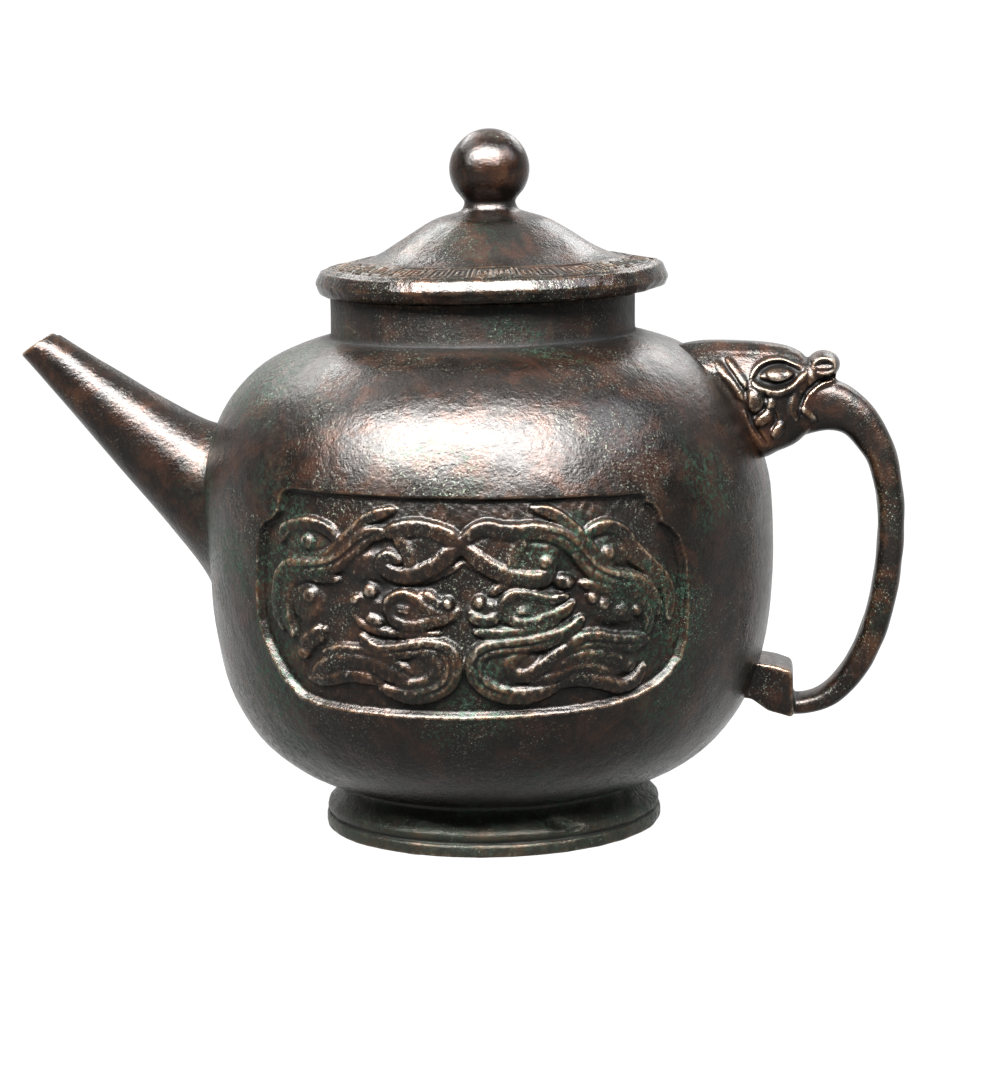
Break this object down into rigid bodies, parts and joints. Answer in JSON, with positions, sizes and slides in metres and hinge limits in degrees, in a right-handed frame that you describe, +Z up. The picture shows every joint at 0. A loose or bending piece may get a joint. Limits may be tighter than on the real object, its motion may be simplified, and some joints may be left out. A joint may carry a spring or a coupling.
{
  "type": "bronze ewer",
  "caption": "Small round-bellied bronze ewer with straight spout, dragon-head loop handle, sunk panels of confronting dragons and a domed lid with ball knob.",
  "frame": {"origin": "on the surface it stands on, below the middle of the whole ewer's footprint box", "axes": "+Z up; -Y is the front, with the dragon panel; the spout points to -X and the handle is on +X"},
  "size_m": [0.2028, 0.1294, 0.1596],
  "materials": {
    "vessel": "dark brown patinated cast bronze, satin, with traces of green",
    "spout": "dark reddish-brown patinated bronze, satin",
    "handle": "dark brown patinated bronze, worn lighter on its edges",
    "lid": "dark brown patinated bronze, polished by handling on the knob"
  },
  "bodies": {
    "root": {"vessel": "vessel", "spout": "spout", "handle": "handle", "lid": "lid"}
  },
  "joints": []
}
